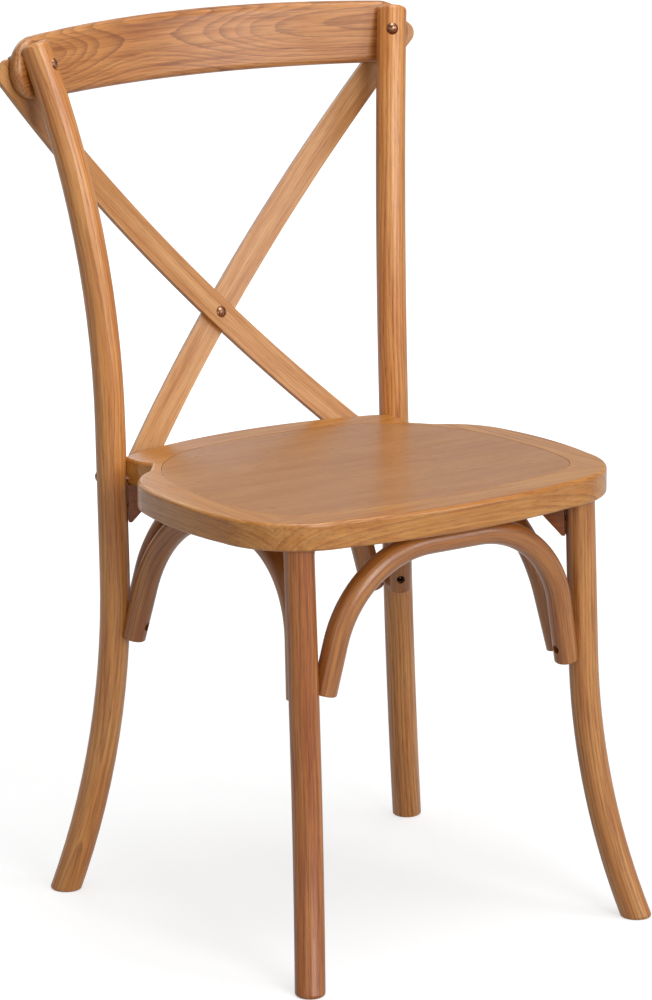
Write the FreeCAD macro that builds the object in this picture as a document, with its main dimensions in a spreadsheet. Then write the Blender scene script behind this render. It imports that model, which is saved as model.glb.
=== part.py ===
import FreeCAD
import Part
import Sketcher
import math
import os
from FreeCAD import Placement, Rotation, Vector

# A bentwood dining chair with a crossed back, in millimetres.
# The floor is z = 0, the sitter looks along -Y, and x = 0 is the plane of symmetry.

doc = FreeCAD.newDocument("CrossBackChair")

# Driving dimensions: alias, value, what it is
dimensions = [
    # Back posts: a straight middle with one bend above it and one below it
    ("post_radius", 15.4, "back post radius"),
    ("post_x", 176.8, "post axis at seat height"),
    ("post_y", 138.9, "post axis at seat height"),
    ("post_lean_x", -0.003, "sideways lean of the straight middle, per height"),
    ("post_lean_y", 0.035, "backward lean of the straight middle, per height"),
    ("post_foot_x", 218.9, "post axis on the floor"),
    ("post_foot_y", 172.6, "post axis on the floor"),
    ("post_foot_bend_z", 340.0, "height where the lower bend starts"),
    ("post_head_bend_z", 490.0, "height where the upper bend starts"),
    ("post_top_x", 220.5, "post axis at the top end"),
    ("post_top_y", 202.7, "post axis at the top end"),
    ("post_top_z", 875.0, "height of the post axis at the top end"),
    ("post_top_round", 5.0, "rounding of the top end"),
    # Front legs: straight above, bent outwards below
    ("leg_radius", 15.0, "front leg radius"),
    ("leg_x", 171.6, "leg axis under the seat"),
    ("leg_y", -183.4, "leg axis under the seat"),
    ("leg_lean_y", 0.049, "forward lean of the straight part, per height"),
    ("leg_foot_x", 202.6, "leg axis on the floor"),
    ("leg_foot_y", -243.4, "leg axis on the floor"),
    ("leg_bend_z", 270.0, "height where the bend starts"),
    ("tenon_radius", 10.0, "round tenon on top of the leg"),
    ("tenon_length", 16.0, "tenon length in the seat"),
    ("foot_round", 3.0, "rounding around the foot"),
    # Seat
    ("seat_top", 458.8, "height of the seat"),
    ("seat_thickness", 27.7, "thickness of the rails"),
    ("seat_top_round", 4.0, "rounding of the top edge"),
    ("seat_bottom_round", 3.0, "rounding of the bottom edge"),
    ("panel_thickness", 6.0, "thickness of the inset panel"),
    ("panel_round", 0.8, "eased top edge of the panel"),
    ("opening_x", 120.0, "half width of the opening under the panel"),
    ("opening_front_y", -130.0, "front edge of that opening"),
    ("opening_back_y", 50.0, "back edge of that opening"),
    ("opening_round", 20.0, "corner radius of that opening"),
    ("seat_corner_round", 6.0, "rounding of the seat's back corners and of the tongues"),
    ("seat_notch_round", 2.5, "rounding of the notches in front of the posts"),
    # Crest rail
    ("crest_front_radius", 740.0, "bend radius of the front face"),
    ("crest_front_y", 240.0, "front face at the middle"),
    ("crest_mid_z", 850.0, "height at which the front face is measured"),
    ("crest_thickness", 16.0, "board thickness"),
    ("crest_lean", 6.0, "backward lean in degrees"),
    ("crest_top_z", 887.0, "top edge at the middle"),
    ("crest_bottom_z", 819.6, "bottom edge at the middle"),
    ("crest_shoulder_x", 216.0, "where the rounded end starts"),
    ("crest_shoulder_top_z", 878.0, "top edge at the shoulder"),
    ("crest_shoulder_bottom_z", 813.5, "bottom edge at the shoulder"),
    ("crest_end_x", 243.5, "end of the rail"),
    ("crest_round", 6.5, "rounding of the long edges"),
    # Crossed slats
    ("slat_width", 29.2, "slat width"),
    ("slat_thickness", 5.5, "slat thickness"),
    ("slat_low_x", 136.5, "slat centre line near the seat"),
    ("slat_low_y", 151.0, "slat centre line near the seat"),
    ("slat_low_z", 440.0, "slat centre line near the seat"),
    ("slat_cross_y", 205.0, "where the two slats meet"),
    ("slat_cross_z", 575.3, "height of the crossing"),
    ("slat_high_x", 249.0, "upper end of the centre line"),
    ("slat_high_y", 217.2, "upper end of the centre line"),
    ("slat_high_z", 852.5, "upper end of the centre line"),
    ("slat_low_extra", 10.0, "slat length below the lower point"),
    ("slat_high_extra", 3.0, "slat length past the upper point"),
    ("slat_tip_round", 12.0, "corner radius of the upper end"),
    ("slat_foot_round", 3.0, "corner radius of the lower end"),
    # Arches under the seat
    ("arch_radius", 12.4, "radius of the bent rod"),
    ("arch_mark_z", 270.0, "height at which the arch legs are placed"),
    ("arch_gap", 0.3, "gap between an arch and its leg or post"),
    ("arch_end_round", 2.0, "rounding of the cut ends"),
    ("front_arch_bend", 110.0, "bend radius of the front arch"),
    ("back_arch_bend", 118.0, "bend radius of the back arch"),
    ("side_arch_bend", 115.7, "bend radius of the side arches"),
    ("front_arch_slope", 0.218, "inward slope of its legs, per height"),
    ("back_arch_slope", 0.29, "inward slope of its legs, per height"),
    ("side_arch_slope", 0.22, "inward slope of its legs, per height"),
    ("front_arch_lean", -0.076, "backward lean of the front arch, per height"),
    ("back_arch_lean", -0.008, "backward lean of the back arch, per height"),
    ("side_arch_lean", 0.14, "lean of the side arches to the middle, per height"),
    ("front_arch_turn", 177.8, "direction from the leg to the front arch"),
    ("back_arch_turn", 163.0, "direction from the post to the back arch"),
    ("side_arch_front_turn", 113.8, "direction from the leg to the side arch"),
    ("side_arch_back_turn", 238.7, "direction from the post to the side arch"),
    ("front_arch_bite", 6.5, "depth of the hollow that fits its ends to the legs"),
    ("back_arch_bite", 0.0, "depth of the hollow that fits its ends to the posts"),
    ("side_arch_front_bite", 0.2, "depth of the hollow at the front leg"),
    ("side_arch_back_bite", 7.2, "depth of the hollow at the back post"),
    ("front_arch_left_z", 281.3, "height of its left end"),
    ("front_arch_right_z", 266.5, "height of its right end"),
    ("back_arch_z", 270.5, "height of both ends of the back arch"),
    ("side_arch_front_z", 271.5, "height of the front ends of the side arches"),
    ("side_arch_back_z", 272.5, "height of their back ends"),
    # Corner blocks
    ("block_reach", 36.0, "length along the seat"),
    ("block_drop", 39.0, "height on the leg"),
    ("block_nose", 3.0, "blunt edge at both tips"),
    ("block_thickness", 18.0, "block thickness"),
    ("block_gap", 0.3, "gap between a block and its leg"),
    ("block_front_turn", 135.0, "direction of the front blocks from their legs"),
    ("block_back_turn", 208.0, "direction of the back blocks from their posts"),
    # Bolts and screws
    ("fit", 0.2, "clearance around dowels, bolts and screws"),
    ("bolt_shank", 3.0, "bolt shank radius"),
    ("bolt_head", 6.0, "domed bolt head radius"),
    ("bolt_dome", 3.4, "height of the dome"),
    ("bolt_sink", 1.4, "depth of the flat that the head sits on"),
    ("nut_radius", 6.5, "domed nut radius"),
    ("nut_height", 5.0, "height of the domed nut"),
    ("nut_bore", 3.0, "depth of the thread in the nut"),
    ("crest_bolt_z", 855.5, "height of the bolts through the crest"),
    ("crest_bolt_turn", 33.5, "turn of those bolts from straight ahead"),
    ("seat_bolt_z", 438.0, "height of the bolts behind the posts"),
    ("seat_bolt_turn", 45.0, "turn of those bolts"),
    ("seat_bolt_length", 50.0, "length under the head"),
    ("crossing_bolt_tilt", 17.2, "tilt of the crossing bolt in degrees"),
    ("screw_shank", 2.2, "screw shank radius"),
    ("screw_head", 3.9, "screw head radius"),
    ("screw_dome", 2.0, "height of the screw head"),
    ("counterbore", 4.4, "counterbore radius"),
    ("counterbore_depth", 8.5, "counterbore depth"),
    ("arch_screw_rise", 13.5, "height of a screw above the arch end"),
    ("arch_screw_length", 28.0, "length of all arch screws"),
    ("slat_screw_length", 20.0, "length of the screws through the slats"),
    ("slat_screw_low", -6.0, "place of the lower slat screw along the slat"),
    ("slat_screw_high", 8.0, "place of the upper slat screw along the slat"),
    ("block_screw_length", 24.0, "length of the corner block screws"),
    ("block_screw_inset", 13.0, "distance of a block screw from its tip"),
    ("block_screw_depth", 10.0, "wood under the head of a block screw"),
]

sheet = doc.addObject("Spreadsheet::Sheet", "Dimensions")
for row, (alias, value, note) in enumerate(dimensions, 1):
    sheet.set("A%d" % row, alias)
    sheet.set("B%d" % row, str(value))
    sheet.set("C%d" % row, note)
    sheet.setAlias("B%d" % row, alias)
doc.recompute()

values = {alias: float(sheet.get(alias)) for alias, value, note in dimensions}


def size(name):
    """A number from the sheet; a leading minus turns its sign and 0 is zero."""
    if not isinstance(name, str):
        return name
    if name == "0":
        return 0.0
    if name.startswith("-"):
        return -values[name[1:]]
    return values[name]


def bound(name):
    """The expression that ties a property to the same cell."""
    if name.startswith("-"):
        return "-Dimensions." + name[1:]
    return "Dimensions." + name


seatBottom = size("seat_top") - size("seat_thickness")
up = Vector(0, 0, 1)


# Small helpers for sketches and bodies

def new_body(name):
    return doc.addObject("PartDesign::Body", name)


def new_sketch(body, name, role):
    """A sketch on one of the body's own origin planes."""
    sketch = body.newObject("Sketcher::SketchObject", name)
    plane = [f for f in body.Origin.OriginFeatures if f.Role == role][0]
    sketch.AttachmentSupport = [(plane, "")]
    sketch.MapMode = "FlatFace"
    return sketch


def place_point(sketch, geo, pos, across, along):
    """Fixes a sketch point by two cells of the sheet, or by a number worked out from them."""
    for kind, cell, axis in (("DistanceX", across, -2), ("DistanceY", along, -1)):
        if cell == "0":
            sketch.addConstraint(Sketcher.Constraint("PointOnObject", geo, pos, axis))
            continue
        index = sketch.addConstraint(Sketcher.Constraint(kind, -1, 1, geo, pos, size(cell)))
        if isinstance(cell, str):
            sketch.setExpression("Constraints[%d]" % index, bound(cell))


def turned_body(name, corners, domed=False):
    """A turned piece: its half outline as (radius cell, height cell) corners.

    With domed set, the last two corners are joined by an arc centred on the axis.
    """
    body = new_body(name)
    sketch = new_sketch(body, name + "_outline", "XZ_Plane")
    points = [Vector(size(r), size(z), 0) for r, z in corners]
    count = len(points)
    for i in range(count):
        start = points[i]
        end = points[(i + 1) % count]
        if domed and i == count - 2:
            rise = end.y - start.y
            radius = (start.x ** 2 + rise ** 2) / (2 * rise)
            centre = Vector(0, end.y - radius, 0)
            first = math.atan2(start.y - centre.y, start.x)
            circle = Part.Circle(centre, up, radius)
            sketch.addGeometry(Part.ArcOfCircle(circle, first, math.pi / 2), False)
            sketch.addConstraint(Sketcher.Constraint("PointOnObject", i, 3, -2))
        else:
            sketch.addGeometry(Part.LineSegment(start, end), False)
    for i in range(count):
        sketch.addConstraint(Sketcher.Constraint("Coincident", i, 2, (i + 1) % count, 1))
    for i, (across, along) in enumerate(corners):
        place_point(sketch, i, 1, across, along)
    turn = body.newObject("PartDesign::Revolution", name + "_turning")
    turn.Profile = sketch
    turn.ReferenceAxis = (sketch, ["V_Axis"])
    turn.Angle = 360
    return body


def set_group(name, body, spots):
    """One piece in several places: spots are (head seat, direction out of the head)."""
    links = []
    for number, (seat, outward) in enumerate(spots, 1):
        link = doc.addObject("App::Link", "%s_%d" % (name, number))
        link.LinkedObject = body
        link.Placement = Placement(seat, Rotation(up, outward))
        links.append(link)
    group = doc.addObject("Part::Compound", name)
    group.Links = links
    return group


def hole(name, radius, length, seat, outward):
    """A drill: radius is an expression, length runs from the seat into the work."""
    drill = doc.addObject("Part::Cylinder", name)
    drill.setExpression("Radius", radius)
    drill.Height = length
    drill.Placement = Placement(seat, Rotation(up, outward * -1))
    return drill


def cut_piece(name, base, tools):
    """The base with every tool taken out of it."""
    tool = tools[0]
    if len(tools) > 1:
        tool = doc.addObject("Part::MultiFuse", name + "_cuts")
        tool.Shapes = tools
    piece = doc.addObject("Part::Cut", name)
    piece.Base = base
    piece.Tool = tool
    return piece


def shape_piece(name, shape):
    piece = doc.addObject("Part::Feature", name)
    piece.Shape = shape
    return piece


def mirrored(name, source):
    piece = doc.addObject("Part::Mirroring", name)
    piece.Source = source
    piece.Base = Vector(0, 0, 0)
    piece.Normal = Vector(1, 0, 0)
    return piece


def flip(point):
    return Vector(-point.x, point.y, point.z)


def heading(degrees):
    """A level direction, counted from +X towards +Y."""
    return Vector(math.cos(math.radians(degrees)), math.sin(math.radians(degrees)), 0)


# Bent rods: a straight run with an arc that leaves it smoothly

class Bend:
    """The arc that starts at a point in a given direction and ends at another point."""

    def __init__(self, start, direction, end):
        self.start = start
        self.tangent = Vector(direction).normalize()
        reach = end - start
        side = reach - self.tangent * reach.dot(self.tangent)
        self.inward = side.normalize()
        self.radius = reach.dot(reach) / (2 * reach.dot(self.inward))
        self.centre = start + self.inward * self.radius
        self.axis = self.tangent.cross(self.inward)
        self.angle = 2 * math.asin(reach.Length / (2 * self.radius))

    def rod(self, radius, extra):
        """The bent rod, made longer at its far end by a short extra length."""
        wire = Part.Wire(Part.makeCircle(radius, self.start, self.tangent))
        angle = math.degrees(self.angle + extra / self.radius)
        return Part.Face(wire).revolve(self.centre, self.axis, angle)

    def point_at_height(self, z):
        """The point of the arc at a height, found by halving."""
        low = 0.0
        high = self.angle
        rising = self.tangent.z > 0
        for step in range(40):
            middle = (low + high) / 2
            below = self.point(middle).z < z
            if below == rising:
                low = middle
            else:
                high = middle
        return self.point(low)

    def point(self, angle):
        outward = self.inward * (-self.radius * math.cos(angle))
        return self.centre + outward + self.tangent * (self.radius * math.sin(angle))

    def rounded_end(self, radius, rounding):
        """A short straight end piece with a rounded rim, for a rod that stops short by rounding."""
        angle = self.angle - rounding / self.radius
        way = self.tangent * math.cos(angle) + self.inward * math.sin(angle)
        end = Part.makeCylinder(radius, rounding + 0.5, self.point(angle), way)
        far = self.point(angle) + way * (rounding + 0.5)
        rims = [e for e in end.Edges if e.Closed and e.CenterOfMass.distanceToPoint(far) < 0.1]
        return end.makeFillet(rounding, rims)


floorCut = Part.makeBox(1200, 1200, 200, Vector(-600, -600, -200))


def edges_near(shape, test):
    return [edge for edge in shape.Edges if test(edge.CenterOfMass)]


# Back posts

postLean = Vector(size("post_lean_x"), size("post_lean_y"), 1)
postMiddle = Vector(size("post_x"), size("post_y"), (seatBottom + size("seat_top")) / 2)


def post_straight(z):
    return postMiddle + postLean * (z - postMiddle.z)


postLow = post_straight(size("post_foot_bend_z"))
postHigh = post_straight(size("post_head_bend_z"))
postFoot = Vector(size("post_foot_x"), size("post_foot_y"), 0)
postTop = Vector(size("post_top_x"), size("post_top_y"), size("post_top_z"))
footBend = Bend(postLow, postLean * -1, postFoot)
headBend = Bend(postHigh, postLean, postTop)


def post_axis(z):
    if z < postLow.z:
        return footBend.point_at_height(z)
    if z > postHigh.z:
        return headBend.point_at_height(z)
    return post_straight(z)


def post_rod():
    radius = size("post_radius")
    middle = postHigh - postLow
    straight = Part.makeCylinder(radius, middle.Length, postLow, middle)
    foot = footBend.rod(radius, 2 * size("foot_round") + radius)
    rounding = size("post_top_round")
    head = headBend.rod(radius, -rounding)
    rod = straight.fuse([foot, head, headBend.rounded_end(radius, rounding)]).cut(floorCut)
    return rod.makeFillet(size("foot_round"), edges_near(rod, lambda c: abs(c.z) < 0.01))


# Front legs

legLean = Vector(0, size("leg_lean_y"), 1)
legTop = Vector(size("leg_x"), size("leg_y"), seatBottom)
legLow = legTop + legLean * (size("leg_bend_z") - seatBottom)
legFoot = Vector(size("leg_foot_x"), size("leg_foot_y"), 0)
legBend = Bend(legLow, legLean * -1, legFoot)


def leg_axis(z):
    if z < legLow.z:
        return legBend.point_at_height(z)
    return legTop + legLean * (z - legTop.z)


def leg_rod():
    radius = size("leg_radius")
    run = legTop - legLow
    straight = Part.makeCylinder(radius, run.Length + radius, legLow, run)
    foot = legBend.rod(radius, 2 * size("foot_round") + radius)
    overSeat = Part.makeBox(1200, 1200, 200, Vector(-600, -600, seatBottom))
    rod = straight.fuse(foot).cut(floorCut).cut(overSeat)
    rod = rod.makeFillet(size("foot_round"), edges_near(rod, lambda c: abs(c.z) < 0.01))
    tenon = Part.makeCylinder(size("tenon_radius"), size("tenon_length"), legTop, up)
    return rod.fuse(tenon)


# Seat: one outline, cut into four rails, with a shallow recess for the panel

def arc(first, middle, last):
    points = [Vector(x, y, 0) for x, y in (first, middle, last)]
    return Part.Arc(*points).toShape()


def line(first, last):
    return Part.makeLine(Vector(first[0], first[1], 0), Vector(last[0], last[1], 0))


def left_of(point):
    return (-point[0], point[1])


# Corners of the seat's right half, from front to back
seatFront = (0, -232)
seatFrontCorner = [(140, -217), (202.5, -187), (226, -131)]
seatSide = (231.3, -74)
seatBackCorner = [(222, 14), (208, 43), (178, 68)]
notch = (160, 90)
tongueTip = (166, 105)
tongueEnd = (166, 133)
seatBackEnd = (150, 141)
seatBack = (0, 164)
# Corners of the panel's right half
panelFront = (0, -194)
panelFrontCorner = [(140, -179), (177, -160), (192, -128)]
panelSide = (197, -76)
panelBackCorner = [(188, 14), (164, 67), (116, 111)]
panelBack = (0, 129)


def seat_outline():
    start, middle, end = seatFrontCorner
    turn, bend, stop = seatBackCorner
    half = [
        arc(start, middle, end),
        arc(end, seatSide, turn),
        arc(turn, bend, stop),
        line(stop, notch),
        line(notch, tongueTip),
        line(tongueTip, tongueEnd),
        line(tongueEnd, seatBackEnd),
    ]
    front = arc(left_of(start), seatFront, start)
    back = arc(seatBackEnd, seatBack, left_of(seatBackEnd))
    return closed_outline(half, front, back)


def panel_outline():
    start, middle, end = panelFrontCorner
    turn, bend, stop = panelBackCorner
    half = [arc(start, middle, end), arc(end, panelSide, turn), arc(turn, bend, stop)]
    front = arc(left_of(start), panelFront, start)
    back = arc(stop, panelBack, left_of(stop))
    return closed_outline(half, front, back)


def closed_outline(half, front, back):
    other = [edge.mirror(Vector(0, 0, 0), Vector(1, 0, 0)) for edge in reversed(half)]
    return Part.Wire([front] + half + [back] + other)


def slab(wire, bottom, height):
    face = Part.Face(wire)
    face.translate(Vector(0, 0, bottom))
    return face.extrude(Vector(0, 0, height))


def round_corner(solid, corner, radius):
    """Rounds the upright edges over a corner of the outline and over its mirror."""
    def over(centre):
        return abs(abs(centre.x) - corner[0]) < 0.01 and abs(centre.y - corner[1]) < 0.01
    return solid.makeFillet(radius, edges_near(solid, over))


def seat_blank():
    solid = slab(seat_outline(), seatBottom, size("seat_thickness"))
    solid = round_corner(solid, seatBackCorner[2], size("seat_corner_round"))
    solid = round_corner(solid, notch, size("seat_notch_round"))
    solid = round_corner(solid, tongueTip, size("seat_corner_round"))
    top = edges_near(solid, lambda c: c.z > size("seat_top") - 0.01)
    solid = solid.makeFillet(size("seat_top_round"), top)
    low = edges_near(solid, lambda c: c.z < seatBottom + 0.01)
    solid = solid.makeFillet(size("seat_bottom_round"), low)
    depth = size("panel_thickness")
    recess = slab(panel_outline(), size("seat_top") - depth, depth + 1)
    width = 2 * size("opening_x")
    length = size("opening_back_y") - size("opening_front_y")
    corner = Vector(-size("opening_x"), size("opening_front_y"), seatBottom - 1)
    opening = Part.makeBox(width, length, size("seat_thickness") + 2, corner)
    upright = [e for e in opening.Edges if abs(e.tangentAt(e.FirstParameter).z) > 0.9]
    opening = opening.makeFillet(size("opening_round"), upright)
    return solid.cut([recess, opening])


def post_clearance():
    """The space that a post needs at seat height, on both sides."""
    radius = size("post_radius") + size("fit")
    low = post_straight(seatBottom - 20)
    high = post_straight(size("seat_top") + 20)
    right = Part.makeCylinder(radius, (high - low).Length, low, high - low)
    return [right, right.mirror(Vector(0, 0, 0), Vector(1, 0, 0))]


def wedge(points):
    """The part of the seat that lies inside a polygon."""
    corners = [Vector(x, y, 0) for x, y in points]
    wire = Part.makePolygon(corners + corners[:1])
    return slab(wire, seatBottom - 10, size("seat_thickness") + 20)


def beyond(inner, outer):
    """A point twice as far out as the outer one, to run a joint line off the seat."""
    return (2 * outer[0] - inner[0], 2 * outer[1] - inner[1])


def seat_rails():
    blank = seat_blank()
    frontInner = (size("opening_x"), size("opening_front_y"))
    backInner = (size("opening_x"), size("opening_back_y"))
    frontOuter = beyond(frontInner, seatFrontCorner[1])
    backOuter = beyond(backInner, notch)
    far = 500
    front = wedge([left_of(frontInner), left_of(frontOuter), (-far, -far),
                   (far, -far), frontOuter, frontInner])
    back = wedge([backInner, backOuter, (far, backOuter[1]), (far, far),
                  (-far, far), (-far, backOuter[1]), left_of(backOuter), left_of(backInner)])
    right = wedge([frontInner, frontOuter, (far, frontOuter[1]),
                   (far, backOuter[1]), backOuter, backInner])
    return blank.common(front), blank.common(back).cut(post_clearance()), blank.common(right)


def seat_panel():
    depth = size("panel_thickness")
    outline = panel_outline().makeOffset2D(-size("fit"))
    solid = slab(outline, size("seat_top") - depth, depth)
    top = edges_near(solid, lambda c: c.z > size("seat_top") - 0.01)
    return solid.makeFillet(size("panel_round"), top)


# Crest rail: a bent board, cut to its outline, with rounded edges

def crest_board():
    front = size("crest_front_radius")
    back = front + size("crest_thickness")
    centreY = size("crest_front_y") - front
    high = 2 * (size("crest_top_z") - size("crest_shoulder_bottom_z"))
    foot = Vector(0, centreY, size("crest_mid_z") - high / 2)
    tube = Part.makeCylinder(back, high, foot)
    tube = tube.cut(Part.makeCylinder(front, high, foot))
    shoulder = size("crest_shoulder_x")
    topZ = size("crest_shoulder_top_z")
    lowZ = size("crest_shoulder_bottom_z")
    middleZ = (topZ + lowZ) / 2

    def upright(x, z):
        return Vector(x, 0, z)
    edges = [
        Part.Arc(upright(-shoulder, topZ), upright(0, size("crest_top_z")),
                 upright(shoulder, topZ)).toShape(),
        Part.Arc(upright(shoulder, topZ), upright(size("crest_end_x"), middleZ),
                 upright(shoulder, lowZ)).toShape(),
        Part.Arc(upright(shoulder, lowZ), upright(0, size("crest_bottom_z")),
                 upright(-shoulder, lowZ)).toShape(),
        Part.Arc(upright(-shoulder, lowZ), upright(-size("crest_end_x"), middleZ),
                 upright(-shoulder, topZ)).toShape(),
    ]
    side = Part.Face(Part.Wire(edges)).extrude(Vector(0, 2 * size("crest_front_y"), 0))
    board = tube.common(side)
    rim = [e for e in board.Edges if e.Length > 60 or abs(e.CenterOfMass.x) > shoulder]
    rim = [e for e in rim if not along_y(e)]
    board = board.makeFillet(size("crest_round"), rim)
    pivot = Vector(0, size("crest_front_y"), size("crest_mid_z"))
    board.rotate(pivot, Vector(1, 0, 0), -size("crest_lean"))
    return board


def crest_housing():
    """The wood that the back of a post loses where the crest rail bears on it."""
    front = size("crest_front_radius") - size("fit")
    centreY = size("crest_front_y") - size("crest_front_radius")
    centre = Vector(0, centreY, size("crest_shoulder_bottom_z"))
    high = 150
    deep = 60
    housing = Part.makeCylinder(front + deep, high, centre, up, 90)
    housing = housing.cut(Part.makeCylinder(front, high, centre))
    housing.rotate(centre, up, 30)
    pivot = Vector(0, size("crest_front_y"), size("crest_mid_z"))
    housing.rotate(pivot, Vector(1, 0, 0), -size("crest_lean"))
    return housing


def along_y(edge):
    span = edge.Vertexes[-1].Point - edge.Vertexes[0].Point
    return abs(span.y) > 0.9 * span.Length and abs(edge.Length - span.Length) < 0.01


# Crossed slats: strips bent to one arc each, through three points

def slat_body(name, crossingShift):
    """The slat that rises to the right; its crossing point is shifted along Y."""
    low = Vector(-size("slat_low_x"), size("slat_low_y"), size("slat_low_z"))
    crossing = Vector(0, size("slat_cross_y") + crossingShift, size("slat_cross_z"))
    high = Vector(size("slat_high_x"), size("slat_high_y"), size("slat_high_z"))
    circle = Part.Arc(low, crossing, high).toShape().Curve
    radius = circle.Radius
    across = (crossing - low).cross(high - low).normalize()
    outward = (low - circle.Center).normalize()
    along = across.cross(outward)
    sweep = math.atan2((high - circle.Center).dot(along), (high - circle.Center).dot(outward))
    first = -size("slat_low_extra") / radius
    last = sweep + size("slat_high_extra") / radius

    body = new_body(name)
    sketch = new_sketch(body, name + "_bend", "XY_Plane")
    outer = radius + size("slat_thickness") / 2
    inner = radius - size("slat_thickness") / 2
    for r in (outer, inner):
        sketch.addGeometry(Part.ArcOfCircle(Part.Circle(Vector(0, 0, 0), up, r), first, last), False)
    for angle in (first, last):
        ray = Vector(math.cos(angle), math.sin(angle), 0)
        sketch.addGeometry(Part.LineSegment(ray * outer, ray * inner), False)
    sketch.addConstraint([
        Sketcher.Constraint("Coincident", 0, 3, -1, 1),
        Sketcher.Constraint("Coincident", 1, 3, -1, 1),
        Sketcher.Constraint("Coincident", 0, 1, 2, 1),
        Sketcher.Constraint("Coincident", 1, 1, 2, 2),
        Sketcher.Constraint("Coincident", 0, 2, 3, 1),
        Sketcher.Constraint("Coincident", 1, 2, 3, 2),
        Sketcher.Constraint("Block", 3),
        Sketcher.Constraint("Block", 2),
    ])
    sketch.setExpression("AttachmentOffset.Base.z", "-Dimensions.slat_width / 2")
    pad = body.newObject("PartDesign::Pad", name + "_strip")
    pad.Profile = sketch
    pad.setExpression("Length", "Dimensions.slat_width")
    doc.recompute()
    for end, cell in ((first, "slat_foot_round"), (last, "slat_tip_round")):
        ray = Vector(math.cos(end), math.sin(end), 0) * radius
        names = []
        for number, edge in enumerate(body.Tip.Shape.Edges, 1):
            centre = edge.CenterOfMass
            near = Vector(centre.x, centre.y, 0).distanceToPoint(ray) < 1
            if near and abs(abs(centre.z) - size("slat_width") / 2) < 0.01:
                names.append("Edge%d" % number)
        corner = body.newObject("PartDesign::Fillet", "%s_%s" % (name, cell))
        corner.Base = (pad if cell == "slat_foot_round" else previous, names)
        corner.setExpression("Radius", bound(cell))
        doc.recompute()
        previous = corner
    turn = FreeCAD.Matrix(outward.x, along.x, across.x, circle.Center.x,
                          outward.y, along.y, across.y, circle.Center.y,
                          outward.z, along.z, across.z, circle.Center.z)
    body.Placement = Placement(turn)
    return body


# Arches: round rod bent in one plane, both legs sloping inwards as they rise

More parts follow.
